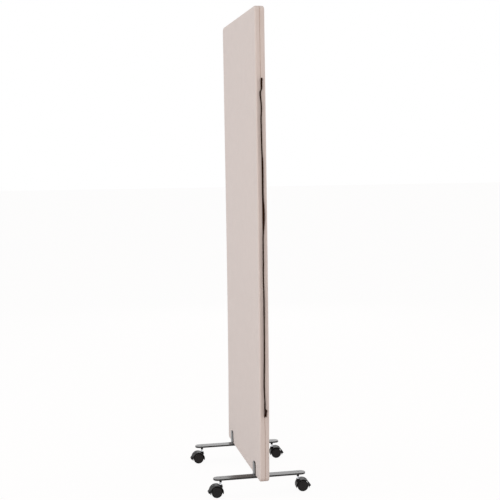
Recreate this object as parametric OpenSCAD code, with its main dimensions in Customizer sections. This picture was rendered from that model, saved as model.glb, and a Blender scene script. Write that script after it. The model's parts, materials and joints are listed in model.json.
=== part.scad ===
// Rolling partition: a soft, fabric-covered acoustic panel that stands on two flat steel feet with
// four twin-wheel casters, and joins its neighbours by a separating zip along each side edge.
// X runs along the panel's width, Y through its thickness, and Z is up. The origin is on the floor,
// under the middle of the panel. The front face looks to -Y, and +X is the right edge.

/* [Panel] */
// Width of the panel
panel_w = 610; // [460:10:1200]
// Height of the panel, without its feet
panel_h = 1676; // [1500:1:2100]
// Thickness of the panel over both fabric faces
panel_t = 35; // [30:1:60]
// Radius of the panel's four corners, seen from the front
corner_r = 18; // [14:1:40]
// Thickness of the foam on each face, which also makes the edges round
foam_t = 4.5; // [4:0.5:9]
// Thickness of the fabric cover
cover_t = 1.5; // [0.8:0.1:2.5]
// Width of the wooden frame rails, seen from the front
rail_w = 45; // [34:1:80]

/* [Feet] */
// Distance from a side edge to the middle of the foot beside it
foot_inset = 92; // [56:1:150]
// Length of a foot bar, over its round ends
foot_l = 344; // [326:2:600]
// Width of a foot bar
foot_w = 36; // [36:1:60]
// Thickness of a foot bar
foot_t = 6; // [5:0.5:10]
// Rounding of a foot bar's edges
foot_edge_r = 0.8; // [0.4:0.1:2]
// Width of a strap that holds the panel
strap_w = 34; // [28:1:34]
// Thickness of a strap
strap_t = 4; // [3:0.5:6]
// Height of a strap above its foot bar
strap_h = 52; // [36:1:120]
// Radius of a strap's top corners
strap_corner_r = 12; // [4:1:13]
// Rounding of a strap's top edge
strap_edge_r = 0.8; // [0.5:0.1:2.5]
// Leg of the weld bead along the foot of a strap
weld_leg = 3; // [1:0.5:5]

/* [Panel screws] */
// Diameter of the countersunk screws that come up through a foot into the panel
screw_d = 6; // [4:0.5:7]
// Diameter of a screw's countersunk head
screw_head_d = 11.5; // [9:0.5:14]
// Height of a screw's countersunk head
screw_head_h = 3.2; // [2.4:0.1:4]
// Distance between the two screws of a foot
screw_spacing = 18; // [16:1:20]
// Outer diameter of the threaded inserts in the bottom rail
insert_d = 9; // [8:0.5:11]
// Length of the threaded inserts
insert_l = 15; // [10:1:20]
// Length of screw that stands out above its insert
screw_tip = 2; // [0.5:0.5:5]

/* [Caster wheels] */
// Distance from the end of a foot bar to the middle of the caster stem near it
stem_inset = 27; // [22:1:52]
// Diameter of a wheel
wheel_d = 40; // [36:1:50]
// Width of a wheel
wheel_w = 13.2; // [11:0.2:18]
// Rounding of a wheel's outer shoulder
tread_r = 2.5; // [1:0.1:3]
// Depth of the ring groove in a wheel's outer face
ring_depth = 1; // [0.4:0.1:1.2]
// Diameter of a wheel's hub
wheel_hub_d = 15; // [12:0.5:17]
// Diameter of the axle
axle_d = 5; // [4:0.5:6]

/* [Caster hood] */
// Distance from the stem's centre to the axle
trail = 16; // [15:0.5:20]
// Thickness of the web between the wheels
web_t = 9.6; // [9:0.2:14]
// Gap between the web and a wheel
wheel_gap = 0.4; // [0.3:0.1:1]
// Gap between the tread and the inside of the hood
tread_gap = 2.8; // [2.4:0.1:4]
// Wall of the hood over the wheels
hood_wall = 2.2; // [1.6:0.1:3]
// How far the hood's sides reach past the wheels' outer faces
hood_lip = 0.6; // [0:0.1:2]
// Rounding of the hood's shoulders
hood_shoulder_r = 2; // [0.6:0.1:2.2]
// How far the hood's skirt reaches below the axle
skirt_drop = 6; // [2:0.5:9]
// Diameter of the stem boss at its top
boss_d = 12.5; // [10:0.5:15]
// How far the stem boss rises above the crown, at the stem
boss_rise = 5; // [4:0.5:8]
// Turn of the two front casters away from the line of their foot, in degrees
front_turn = 0; // [-60:1:60]
// Turn of the two back casters towards the right edge, in degrees
back_turn = 5; // [-60:1:60]

/* [Caster stem] */
// Diameter of the stem
stem_d = 6; // [5:0.1:6.4]
// Depth of the stem's socket in the hood
socket_l = 20; // [12:1:22]
// Diameter of the flange that sits over the boss
flange_d = 10; // [8:0.5:12]
// Thickness of the flange
flange_t = 1.4; // [1:0.1:3]
// Diameter of the bright neck above the flange
neck_d = 8; // [6.6:0.1:9]
// Length of the bright neck
neck_l = 7.5; // [3:0.5:12]
// Outer diameter of the black spacer sleeve between the neck and the foot bar
sleeve_d = 9; // [7.6:0.1:14]
// Length of the spacer sleeve
sleeve_l = 10; // [6:1:30]

/* [Brake lever] */
// Width of a brake lever
lever_w = 21; // [14:0.5:24]
// Gap between a lever and the sides of its slot
lever_gap = 0.5; // [0.4:0.1:1]
// Gap between a lever's pad and the tread, with the brake off
pad_gap = 1.6; // [1.4:0.1:2]
// Distance of the lever's tip from the axle, measured level
lever_reach = 31; // [29:0.5:36]
// Distance of the lever's tip below the axle
lever_drop = 0; // [0:0.5:6]
// Thickness of the lever at its tip
lever_t = 2.6; // [2:0.1:3]
// Width of the lever's tongue, which hangs in the web
tongue_w = 4; // [3:0.2:4.4]
// Diameter of the lever's pivot stubs
pivot_d = 3; // [2.4:0.1:3.4]

/* [Zips] */
// Length of a zip
zip_l = 1192; // [900:1:1230]
// Height of a zip's lower end above the panel's lower edge
zip_start = 238; // [60:1:240]
// How far the tape stands out from the panel's edge
tape_out = 11; // [7:0.5:14]
// Thickness of the tape
tape_t = 0.8; // [0.5:0.1:1]
// Length of bare tape below the retainer box
tape_tail = 6; // [2:0.5:15]
// Length of bare tape above the top stop
tape_tip = 1.5; // [0.5:0.5:8]
// Distance from tooth to tooth
tooth_pitch = 4.4; // [3.8:0.1:5]
// Length of a tooth beyond its bead
tooth_l = 3.6; // [2.8:0.1:4.2]
// Thickness of the teeth
tooth_t = 3.2; // [2.4:0.1:3.8]
// Width of the bead that the teeth stand on
bead_w = 1.6; // [1:0.1:2.2]
// Height of a top stop
top_stop_h = 9.5; // [5:0.5:14]
// Thickness of a top stop
top_stop_t = 5; // [4:0.1:6]
// Height of the retainer box
box_h = 8; // [6:0.5:16]
// Length of the insertion pin
pin_l = 16; // [10:0.5:24]

/* [Zip slider] */
// Length of the slider
slider_l = 18; // [16:0.5:22]
// Angle between each side of the slider and its centre line
slider_flare = 12; // [10:0.5:14]
// Thickness of the slider's two plates
plate_t = 1; // [0.8:0.1:2]
// Thickness of the slider's side walls
slider_wall = 1.2; // [0.8:0.1:1.6]
// Running gap between the slider and the teeth
slider_gap = 0.3; // [0.3:0.05:0.4]
// Width of the pull
pull_w = 9; // [8:0.5:12]
// Length of the pull from its bar to its tip
pull_l = 22; // [14:1:40]
// Thickness of the pull
pull_t = 1.4; // [1:0.1:1.6]

/* [Hidden] */
// Radial gap where a pin turns or slides in its bore
pin_fit = 0.06;
// Gap between faces of two moving pieces that sit on each other
seat_gap = 0.3;
// Overshoot of a cutting tool past the face that it cuts
over = 1;

// Distance between the two feet, centre to centre
foot_spacing = panel_w - 2 * foot_inset;
// Distance between the two caster stems on a foot
stem_spacing = foot_l - 2 * stem_inset;

// Caster heights and radii, from the floor up
wheel_r = wheel_d / 2;
pocket_r = wheel_r + tread_gap;
crown_r = pocket_r + hood_wall;
wheel_in = web_t / 2 + wheel_gap;
hood_half_w = wheel_in + wheel_w + hood_lip;
crown_at_stem_z = wheel_r + sqrt(crown_r * crown_r - trail * trail);
boss_top_z = crown_at_stem_z + boss_rise;
flange_z = boss_top_z + seat_gap;
neck_z = flange_z + flange_t;
sleeve_z = neck_z + neck_l;
foot_z = sleeve_z + sleeve_l;
foot_top_z = foot_z + foot_t;
panel_z = foot_top_z;

// Wheel section
wheel_cap_t = 1.6;
wheel_bore_l = wheel_w - wheel_cap_t;
wheel_face_t = 3.6;
wheel_rim_t = 3.2;
wheel_rib_t = 1.2;
wheel_ribs = 6;
rib_recess = 1;
rib_bite = 0.5;
ring_edge = 1.2;
ring_outer_r = wheel_r - tread_r - ring_edge;
ring_w = 2.2;
axle_end_gap = 0.3;
axle_l = 2 * (wheel_in + wheel_bore_l - axle_end_gap);

// Stem boss and socket
boss_flare = 2;
hub_wall = 4.5;
hub_r = axle_d / 2 + hub_wall;
stem_recess = 0.4;

// Brake lever: it hangs from stubs in the web, behind the hood's crown, and ends in a beak
lever_top_a = 60;
slot_top_a = 63;
slot_low_a = -40;
pivot_a = 48;
pivot_depth = 4;
pivot_r = wheel_r - pivot_depth;
tongue_wall = 1.1;
tongue_r = pivot_d / 2 + tongue_wall;
tongue_foot_a = 6;
tongue_bite = 1;
stub_l = 1.8;
pad_r = wheel_r + pad_gap;
slot_half_w = lever_w / 2 + lever_gap;
web_slot_half_w = tongue_w / 2 + lever_gap;
web_slot_drop = 3 * tongue_r;
web_inset = 0.3;
web_edge_r = wheel_r - web_inset;
tip_r = norm([lever_reach, lever_drop]);
beak_a = acos(crown_r / tip_r) - atan(lever_drop / lever_reach);
heel_a = -11;
beak_relief = 0.9;
beak_relief_a = -25;
tip_blunt = 1;

// Panel section
edge_r = foam_t + cover_t;
frame_t = panel_t - 2 * edge_r;
inner_w = panel_w - 2 * cover_t;
inner_h = panel_h - 2 * cover_t;
inner_r = corner_r - cover_t;
screw_hole_gap = 0.3;
screw_l = foot_t + cover_t + insert_l + screw_tip;
screw_socket_d = 4;
screw_socket_l = screw_head_h - 1;

// Zip section: the two halves mesh where their teeth overlap over their whole length
chain_w = bead_w + tooth_l;
tooth_neck = tooth_pitch * 0.3;
tooth_head = tooth_pitch * 0.46;
first_tooth = tooth_pitch * 0.75;
box_z = zip_start + tape_tail;
teeth_z = box_z + box_h;
top_stop_z = zip_start + zip_l - tape_tip - top_stop_h;
teeth_l = top_stop_z - teeth_z;
fastener_wall = 1.2;
fastener_t = tooth_t + 2 * fastener_wall;
mesh_shift = tooth_pitch / 2;
pin_w = bead_w + tooth_l / 3;

// Slider section
slider_in_t = tooth_t / 2 + slider_gap;
slider_out_t = slider_in_t + plate_t;
mouth_half_w = (slider_wall + slider_gap + bead_w + tooth_l / 2) / cos(slider_flare);
shoulder_half_w = mouth_half_w + slider_l * tan(slider_flare);
wedge_top_half_w = shoulder_half_w
    - (slider_wall + 2 * slider_gap + chain_w) / cos(slider_flare);
wedge_tip_half_w = 0.5;
wedge_l = (wedge_top_half_w - wedge_tip_half_w) / tan(slider_flare);
slider_x = tape_out - slider_gap - slider_wall;
slider_low = 2 * mouth_half_w * sin(slider_flare);
slider_z = teeth_z + slider_low + seat_gap;
tape_slot = tape_t + 2 * slider_gap;
slider_corner_r = 0.8;

// Pull and its bridge
bar_d = 1.8;
bridge_w = 3.2;
bridge_t = 1.3;
bridge_room = 0.35;
bridge_in_l = 7.4;
bridge_r = 1;
bar_y = slider_out_t + bridge_room + bar_d / 2;
bridge_in_h = bar_d + 2 * bridge_room;
bar_z = 1.5;
eye_gap = 0.9;
eye_w = bridge_w + 2 * eye_gap;
eye_l = 8.2;
pull_hole_d = 3.2;
pull_taper_l = 9;
pull_tip_w = pull_w / 2;

CASTERS = [
    ["right_front", 1, -1],
    ["right_back", 1, 1],
    ["left_front", -1, -1],
    ["left_back", -1, 1],
];
CASTER_PIECES = ["stem", "sleeve", "hood", "axle", "wheel_a", "wheel_b", "brake"];
PANEL_NODES = [
    "frame_top_rail", "frame_bottom_rail", "frame_left_stile", "frame_right_stile",
    "acoustic_core", "front_foam", "back_foam", "front_cover", "back_cover", "panel_inserts",
];
ZIP_NODES = [
    "right_zip_tape", "right_zip_teeth", "right_zip_top_stop", "right_zip_box",
    "left_zip_tape", "left_zip_teeth", "left_zip_top_stop", "left_zip_pin",
    "zip_slider", "zip_pull",
];
FOOT_NODES = [
    "right_foot_bar", "left_foot_bar", "right_front_strap", "right_back_strap",
    "left_front_strap", "left_back_strap", "right_foot_screws", "left_foot_screws",
];
$fn = 64;

// ---------- Shared shapes ----------

// A rectangle from the origin whose far corner is round
module eased_corner(w, h, r) {
    square([w - r, h]);
    square([w, h - r]);
    intersection() {
        translate([w - r, h - r]) circle(r);
        square([w, h]);
    }
}

// A rectangle about the origin with four round corners
module round_rect(w, h, r) {
    square([w - 2 * r, h], center = true);
    square([w, h - 2 * r], center = true);
    for (sx = [-1, 1], sy = [-1, 1])
        translate([sx * (w / 2 - r), sy * (h / 2 - r)]) circle(r);
}

// Carries a section round a rounded rectangle; the section's x starts at the corners' centres
module rim_sweep(w, h, r) {
    for (q = [0:3]) {
        across = q % 2 == 0 ? w : h;
        along = q % 2 == 0 ? h : w;
        rotate([0, 0, 90 * q]) {
            translate([across / 2 - r, 0, 0])
                rotate([90, 0, 0]) linear_extrude(along - 2 * r, center = true) children();
            translate([across / 2 - r, along / 2 - r, 0]) rotate_extrude(angle = 90) children();
        }
    }
}

// Stands a flat drawing up in the panel's plane, with the given thickness about the seam
module in_panel_plane(t) {
    translate([0, 0, panel_z]) rotate([90, 0, 0]) linear_extrude(t, center = true) children();
}

// Places what is drawn on the front half of the panel: x across, y up, z towards the front
module on_front() {
    translate([0, 0, panel_z + panel_h / 2]) rotate([90, 0, 0]) children();
}

module on_back() {
    mirror([0, 1, 0]) on_front() children();
}

// Where the panel's screws stand on a foot
module at_screws(side) {
    for (s = [-1, 1])
        translate([side * foot_spacing / 2 + s * screw_spacing / 2, 0, 0]) children();
}

// ---------- Panel ----------

module frame_outline() {
    translate([0, panel_h / 2]) round_rect(inner_w, inner_h, inner_r);
}

module frame_top_rail() {
    color("burlywood") in_panel_plane(frame_t) intersection() {
        frame_outline();
        translate([-inner_w / 2, panel_h - cover_t - rail_w]) square([inner_w, rail_w]);
    }
}

module frame_bottom_rail() {
    color("burlywood") difference() {
        in_panel_plane(frame_t) intersection() {
            frame_outline();
            translate([-inner_w / 2, cover_t]) square([inner_w, rail_w]);
        }
        for (side = [-1, 1]) at_screws(side) {
            translate([0, 0, panel_z]) cylinder(d = insert_d, h = cover_t + insert_l);
            translate([0, 0, panel_z]) cylinder(d = screw_d, h = cover_t + insert_l + screw_tip + over);
        }
    }
}

module frame_stile(side) {
    color("burlywood") in_panel_plane(frame_t)
        translate([side * (inner_w - rail_w) / 2, panel_h / 2])
            square([rail_w, inner_h - 2 * rail_w], center = true);
}

module acoustic_core() {
    color("gray") in_panel_plane(frame_t)
        translate([0, panel_h / 2])
            square([inner_w - 2 * rail_w, inner_h - 2 * rail_w], center = true);
}

// One foam sheet, rounded off to nothing at the frame's edge
module foam_sheet() {
    flat_r = corner_r - edge_r;
    translate([-(panel_w / 2 - corner_r), -(panel_h / 2 - corner_r), frame_t / 2])
        cube([panel_w - 2 * corner_r, panel_h - 2 * corner_r, foam_t]);
    rim_sweep(panel_w, panel_h, corner_r) translate([0, frame_t / 2]) {
        square([flat_r, foam_t]);
        intersection() {
            translate([flat_r, 0]) circle(foam_t);
            translate([flat_r, 0]) square(foam_t);
        }
    }
}

// One half of the fabric cover, from its face round the edges to the seam
module cover_half() {
    face_z = panel_t / 2;
    translate([-(panel_w / 2 - corner_r), -(panel_h / 2 - corner_r), face_z - cover_t])
        cube([panel_w - 2 * corner_r, panel_h - 2 * corner_r, cover_t]);
    rim_sweep(panel_w, panel_h, corner_r) difference() {
        eased_corner(corner_r, face_z, edge_r);
        translate([-over, -over]) eased_corner(inner_r + over, face_z - cover_t + over, edge_r - cover_t);
    }
}

// What passes through the seam: the two zip tapes and the four screws
module seam_cuts() {
    for (side = [-1, 1]) {
        on_edge(side) translate([-corner_r, -tape_t / 2, zip_start])
            cube([corner_r + over, tape_t, zip_l]);
        at_screws(side) translate([0, 0, panel_z - over])
            cylinder(d = screw_d + 2 * screw_hole_gap, h = cover_t + 2 * over);
    }
}

module front_cover() {
    color("tan") difference() {
        on_front() cover_half();
        seam_cuts();
    }
}

module back_cover() {
    color("tan") difference() {
        on_back() cover_half();
        seam_cuts();
    }
}

module panel_inserts() {
    color("goldenrod") for (side = [-1, 1]) at_screws(side)
        translate([0, 0, panel_z + cover_t]) difference() {
            cylinder(d = insert_d, h = insert_l);
            translate([0, 0, -over]) cylinder(d = screw_d, h = insert_l + 2 * over);
        }
}

// ---------- Feet ----------

// Section of a foot bar's right half, from its middle to its rounded edge
module half_bar_section() {
    square([foot_w / 2 - foot_edge_r, foot_t]);
    translate([0, foot_edge_r]) square([foot_w / 2, foot_t - 2 * foot_edge_r]);
    for (h = [foot_edge_r, foot_t - foot_edge_r])
        translate([foot_w / 2 - foot_edge_r, h]) circle(foot_edge_r);
}

module foot_bar(side) {
    straight = foot_l - foot_w;
    color("dimgray") difference() {
        translate([side * foot_spacing / 2, 0, foot_z]) {
            rotate([90, 0, 0]) linear_extrude(straight, center = true) {
                half_bar_section();
                mirror([1, 0]) half_bar_section();
            }
            for (end = [0, 180]) rotate([0, 0, end]) translate([0, straight / 2, 0])
                rotate_extrude(angle = 180) half_bar_section();
        }
        for (end = [-1, 1])
            translate([side * foot_spacing / 2, end * stem_spacing / 2, foot_z - over])
                cylinder(d = stem_d, h = foot_t + 2 * over);
        at_screws(side) {
            translate([0, 0, foot_z - over]) cylinder(d = screw_d, h = foot_t + 2 * over);
            translate([0, 0, foot_z]) cylinder(d1 = screw_head_d, d2 = screw_d, h = screw_head_h);
        }
    }
}

// Side view of a strap: x away from the panel, y up
module strap_profile() {
    eased_corner(strap_t, strap_h, strap_edge_r);
    translate([strap_t, 0]) difference() {
        square(weld_leg);
        translate([weld_leg, weld_leg]) circle(weld_leg);
    }
}

// One strap of a foot: its weld stands on the foot bar, and its flat side lies on the panel
module strap(side, face) {
    color("dimgray") translate([side * foot_spacing / 2, face * panel_t / 2, foot_top_z])
        intersection() {
            rotate([90, 0, 90]) linear_extrude(strap_w, center = true)
                mirror([face > 0 ? 0 : 1, 0]) strap_profile();
            rotate([90, 0, 0]) linear_extrude(2 * (strap_t + weld_leg) + over, center = true)
                union() {
                    translate([-strap_w / 2, -over]) square([strap_w, strap_h + over - strap_corner_r]);
                    translate([-strap_w / 2 + strap_corner_r, 0])
                        square([strap_w - 2 * strap_corner_r, strap_h]);
                    for (s = [-1, 1])
                        translate([s * (strap_w / 2 - strap_corner_r), strap_h - strap_corner_r])
                            circle(strap_corner_r);
                }
        }
}

module foot_screws(side) {
    color("silver") at_screws(side) translate([0, 0, foot_z]) difference() {
        union() {
            cylinder(d1 = screw_head_d, d2 = screw_d, h = screw_head_h);
            cylinder(d = screw_d, h = screw_l);
        }
        translate([0, 0, -over]) cylinder(d = screw_socket_d, h = screw_socket_l + over, $fn = 6);
    }
}

// ---------- Casters ----------

// Places a caster by its stem; its axle trails the stem along +Y before it is turned
module at_caster(c) {
    turn = c[2] < 0 ? 180 + front_turn : -back_turn;
    translate([c[1] * foot_spacing / 2, c[2] * stem_spacing / 2, 0]) rotate([0, 0, turn]) children();
}

// Side view of a caster about its axle: x trails the stem, y is up, z runs along the axle
module about_axle() {
    translate([0, trail, wheel_r]) rotate([90, 0, 90]) children();
}

// The outline that the wheels' hood is turned from: x is the radius, y runs along the axle
module hood_section() {
    translate([0, -hood_half_w]) square([crown_r - hood_shoulder_r, 2 * hood_half_w]);
    translate([0, -hood_half_w + hood_shoulder_r])
        square([crown_r, 2 * (hood_half_w - hood_shoulder_r)]);
    for (s = [-1, 1])
        translate([crown_r - hood_shoulder_r, s * (hood_half_w - hood_shoulder_r)])
            circle(hood_shoulder_r);
}

// A wedge about the axle between two angles, seen from the side
module wedge_view(from_a, to_a, r) {
    far = 2 * r;
    mid_a = (from_a + to_a) / 2;
    polygon([
        [0, 0],
        far * [cos(from_a), sin(from_a)],
        2 * far * [cos(mid_a), sin(mid_a)],
        far * [cos(to_a), sin(to_a)],
    ]);
}

// The slot in the crown that the brake lever fills
module lever_slot() {
    linear_extrude(2 * slot_half_w, center = true) difference() {
        wedge_view(slot_low_a, slot_top_a, crown_r);
        circle(web_edge_r);
    }
    linear_extrude(2 * web_slot_half_w, center = true)
        translate([pivot_r * cos(pivot_a) - tongue_r - lever_gap, pivot_r * sin(pivot_a) - web_slot_drop])
            square(crown_r);
}

module hood() {
    color("black") difference() {
        union() {
            difference() {
                union() {
                    about_axle() rotate_extrude() hood_section();
                    translate([0, 0, crown_at_stem_z - boss_rise])
                        cylinder(d1 = boss_d + 2 * boss_flare, d2 = boss_d, h = 2 * boss_rise);
                }
                for (s = [0, 1]) about_axle() mirror([0, 0, s]) translate([0, 0, web_t / 2])
                    cylinder(r = pocket_r, h = hood_half_w);
                about_axle() translate([-2 * crown_r, -2 * crown_r - skirt_drop, -2 * crown_r])
                    cube([4 * crown_r, 2 * crown_r, 4 * crown_r]);
                about_axle() lever_slot();
            }
            about_axle() cylinder(r = hub_r, h = web_t, center = true);
        }
        about_axle() cylinder(d = axle_d, h = web_t + 2 * over, center = true);
        about_axle() translate(pivot_r * [cos(pivot_a), sin(pivot_a), 0])
            cylinder(r = pivot_d / 2 + pin_fit, h = web_t + 2 * over, center = true);
        translate([0, 0, boss_top_z - socket_l])
            cylinder(r = stem_d / 2 + pin_fit, h = socket_l + over);
    }
}

module axle() {
    color("silver") about_axle() cylinder(d = axle_d, h = axle_l, center = true);
}

// Section of a wheel: x is the radius, y runs outwards from the web side to the open face
module wheel_section() {
    difference() {
        eased_corner(wheel_r, wheel_w, tread_r);
        translate([-over, -over]) square([axle_d / 2 + pin_fit + over, wheel_bore_l + over]);
        translate([wheel_hub_d / 2, -over])
            square([wheel_r - wheel_rim_t - wheel_hub_d / 2, wheel_w - wheel_face_t + over]);
        translate([ring_outer_r - ring_w, wheel_w - ring_depth]) square([ring_w, ring_depth + over]);
        translate([wheel_hub_d / 2 - ring_w, wheel_w - ring_depth / 2])
            square([ring_w / 2, ring_depth]);
    }
}

// One twin wheel, on the web's +z side or, mirrored, on its -z side
module wheel(side) {
    color("black") about_axle() mirror([0, 0, side > 0 ? 0 : 1]) translate([0, 0, wheel_in]) {
        rotate_extrude() wheel_section();
        for (i = [0:wheel_ribs - 1]) rotate([0, 0, i * 360 / wheel_ribs])
            translate([wheel_hub_d / 2 - rib_bite, -wheel_rib_t / 2, rib_recess]) cube([
                wheel_r - wheel_rim_t - wheel_hub_d / 2 + 2 * rib_bite,
                wheel_rib_t,
                wheel_w - wheel_face_t - rib_recess + rib_bite,
            ]);
    }
}

// Foot-pressed brake: a curved pad over both treads that runs out in a beak, hung from its tongue
module brake() {
    tip = [lever_reach, -lever_drop];
    pivot = pivot_r * [cos(pivot_a), sin(pivot_a)];
    color("black") about_axle() {
        intersection() {
            rotate_extrude() hood_section();
            linear_extrude(lever_w, center = true) difference() {
                wedge_view(beak_a, lever_top_a, crown_r);
                circle(pad_r);
            }
        }
        linear_extrude(lever_w, center = true) difference() {
            polygon([
                [0, 0],
                crown_r * [cos(beak_a), sin(beak_a)],
                tip,
                tip - [tip_blunt, lever_t],
                crown_r * [cos(heel_a), sin(heel_a)],
            ]);
            translate(beak_relief * [cos(beak_relief_a), sin(beak_relief_a)]) circle(pad_r);
        }
        linear_extrude(tongue_w, center = true) {
            translate(pivot) circle(tongue_r);
            polygon([
                pivot + tongue_r * [cos(pivot_a + 90), sin(pivot_a + 90)],
                pivot + tongue_r * [cos(pivot_a - 90), sin(pivot_a - 90)],
                (pad_r + tongue_bite) * [cos(beak_a + tongue_foot_a), sin(beak_a + tongue_foot_a)],
                (pad_r + tongue_bite) * [cos(lever_top_a), sin(lever_top_a)],
            ]);
        }
        translate(pivot) cylinder(d = pivot_d, h = tongue_w + 2 * stub_l, center = true);
    }
}

// The stem turns freely in the hood's socket and is screwed up through the sleeve and foot bar
module stem() {
    color("silver") {
        translate([0, 0, boss_top_z - socket_l + seat_gap])
            cylinder(d = stem_d, h = foot_top_z - stem_recess - (boss_top_z - socket_l + seat_gap));
        translate([0, 0, flange_z]) cylinder(d = flange_d, h = flange_t);
        translate([0, 0, flange_z]) cylinder(d = neck_d, h = sleeve_z - flange_z);
    }
}

module sleeve() {
    color("black") translate([0, 0, sleeve_z]) difference() {
        cylinder(d = sleeve_d, h = sleeve_l);
        translate([0, 0, -over]) cylinder(d = stem_d, h = sleeve_l + 2 * over);
    }
}

// ---------- Zips ----------

// Places a zip half on a side edge: x out from the edge, y across the seam, z up from its foot
module on_edge(side) {
    mirror([side > 0 ? 0 : 1, 0, 0]) translate([panel_w / 2, 0, panel_z]) children();
}

module zip_tape(side) {
    color("saddlebrown") on_edge(side) translate([-cover_t, -tape_t / 2, zip_start])
        cube([cover_t + tape_out, tape_t, zip_l]);
}

// A comb of moulded teeth on their bead; shift moves them along so that two halves mesh
module zip_teeth(side, shift) {
    count = floor((teeth_l - shift - tooth_pitch) / tooth_pitch);
    root = tape_out + bead_w;
    tip = root + tooth_l;
    color("black") on_edge(side) translate([0, 0, teeth_z]) rotate([90, 0, 0])
        linear_extrude(tooth_t, center = true) polygon(concat(
            [[tape_out, 0], [root, 0]],
            [for (i = [0:count - 1]) let (at = first_tooth + shift + tooth_pitch * i) each [
                [root, at - tooth_neck / 2],
                [tip, at - tooth_head / 2],
                [tip, at + tooth_head / 2],
                [root, at + tooth_neck / 2],
            ]],
            [[root, teeth_l], [tape_out, teeth_l]]
        ));
}

// A block clamped over the edge of the tape, from the tape's face out past the teeth
module clamp_block(w, t, h) {
    difference() {
        translate([tape_out - fastener_wall, -t / 2, 0]) cube([w + fastener_wall, t, h]);
        translate([0, -tape_t / 2, -over]) cube([tape_out, tape_t, h + 2 * over]);
    }
}

module zip_top_stop(side) {
    color("black") on_edge(side) translate([0, 0, top_stop_z])
        clamp_block(chain_w, top_stop_t, top_stop_h);
}

// The retainer box at the zip's foot, with the socket that takes the other half's pin
module zip_box(side) {
    socket_x = tape_out + chain_w - tooth_l / 2 + fastener_wall / 2;
    color("black") on_edge(side) translate([0, 0, box_z]) difference() {
        clamp_block(2 * chain_w - tooth_l + fastener_wall, fastener_t, box_h);
        translate([socket_x, -tooth_t / 2, fastener_wall])
            cube([2 * chain_w - tooth_l + tape_out - socket_x, tooth_t, box_h]);
    }
}

// The pin at the foot of the other half, which goes into a neighbour's retainer box
module zip_pin(side) {
    color("black") on_edge(side) translate([0, 0, teeth_z - pin_l])
        translate([tape_out, -tooth_t / 2 + slider_gap, 0])
            cube([pin_w, tooth_t - 2 * slider_gap, pin_l]);
}

// Stands the slider on the teeth of the right edge: it leans until its left wall runs along them
module on_teeth() {
    on_edge(1) translate([slider_x, 0, slider_z]) rotate([0, slider_flare, 0])
        translate([mouth_half_w, 0, slider_l / 2]) children();
}

// Front view of the slider's plates: x across, y up from the middle of its length
module slider_outline() {
    offset(r = slider_corner_r) offset(delta = -slider_corner_r) polygon([
        [-mouth_half_w, -slider_l / 2],
        [mouth_half_w, -slider_l / 2],
        [shoulder_half_w, slider_l / 2],
        [-shoulder_half_w, slider_l / 2],
    ]);
}

// The way through the slider for the teeth, open at both ends
module slider_channel() {
    slope = tan(slider_flare);
    step = slider_wall / cos(slider_flare);
    low = mouth_half_w - step - over * slope;
    high = shoulder_half_w - step + over * slope;
    polygon([
        [-low, -slider_l / 2 - over],
        [low, -slider_l / 2 - over],
        [high, slider_l / 2 + over],
        [-high, slider_l / 2 + over],
    ]);
}

// The bridge over the pull's bar, seen from the side: x up the slider, y out from its plate
module bridge_profile() {
    difference() {
        translate([bar_z - bridge_in_l / 2 - bridge_t, 0])
            eased_arch(bridge_in_l + 2 * bridge_t, bridge_in_h + bridge_t, bridge_r + bridge_t);
        translate([bar_z - bridge_in_l / 2, -over])
            eased_arch(bridge_in_l, bridge_in_h + over, bridge_r);
    }
}

// A rectangle from the origin whose two upper corners are round
module eased_arch(w, h, r) {
    square([w, h - r]);
    translate([r, 0]) square([w - 2 * r, h]);
    for (x = [r, w - r]) translate([x, h - r]) circle(r);
}

module zip_slider() {
    color("dimgray") on_teeth() {
        difference() {
            rotate([90, 0, 0]) linear_extrude(2 * slider_out_t, center = true) slider_outline();
            rotate([90, 0, 0]) linear_extrude(2 * slider_in_t, center = true) slider_channel();
            translate([-shoulder_half_w - over, -tape_slot / 2, -slider_l / 2 - over])
                cube([2 * (shoulder_half_w + over), tape_slot, slider_l + 2 * over]);
        }
        rotate([90, 0, 0]) linear_extrude(2 * slider_in_t + plate_t, center = true) polygon([
            [-wedge_top_half_w, slider_l / 2],
            [-wedge_tip_half_w, slider_l / 2 - wedge_l],
            [wedge_tip_half_w, slider_l / 2 - wedge_l],
            [wedge_top_half_w, slider_l / 2],
        ]);
        translate([0, slider_out_t - plate_t / 2, 0]) rotate([90, 0, 90])
            linear_extrude(bridge_w, center = true) rotate([0, 0, 90]) mirror([0, 1])
                translate([0, plate_t / 2]) bridge_profile();
    }
}

// The pull hangs by a round bar under the bridge, which stands in its eye
module zip_pull() {
    color("dimgray") on_teeth() translate([0, bar_y, bar_z]) {
        rotate([0, 90, 0]) cylinder(d = bar_d, h = pull_w, center = true);
        rotate([90, 0, 0]) linear_extrude(pull_t, center = true) difference() {
            polygon([
                [-pull_w / 2, 0],
                [pull_w / 2, 0],
                [pull_w / 2, pull_taper_l - pull_l],
                [pull_tip_w / 2, -pull_l],
                [-pull_tip_w / 2, -pull_l],
                [-pull_w / 2, pull_taper_l - pull_l],
            ]);
            translate([-eye_w / 2, -eye_l]) square([eye_w, eye_l + over]);
            translate([0, -pull_l + pull_hole_d]) circle(d = pull_hole_d);
        }
    }
}

// ---------- Assembly ----------

frame_top_rail();
frame_bottom_rail();
frame_stile(-1);  // frame_left_stile
frame_stile(1);  // frame_right_stile
acoustic_core();
on_front() color("white") foam_sheet();  // front_foam
on_back() color("white") foam_sheet();  // back_foam
front_cover();
back_cover();
panel_inserts();

zip_tape(1);  // right_zip_tape
zip_teeth(1, 0);  // right_zip_teeth
zip_top_stop(1);  // right_zip_top_stop
zip_box(1);  // right_zip_box
zip_tape(-1);  // left_zip_tape
zip_teeth(-1, mesh_shift);  // left_zip_teeth
zip_top_stop(-1);  // left_zip_top_stop
zip_pin(-1);  // left_zip_pin
zip_slider();
zip_pull();

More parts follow.
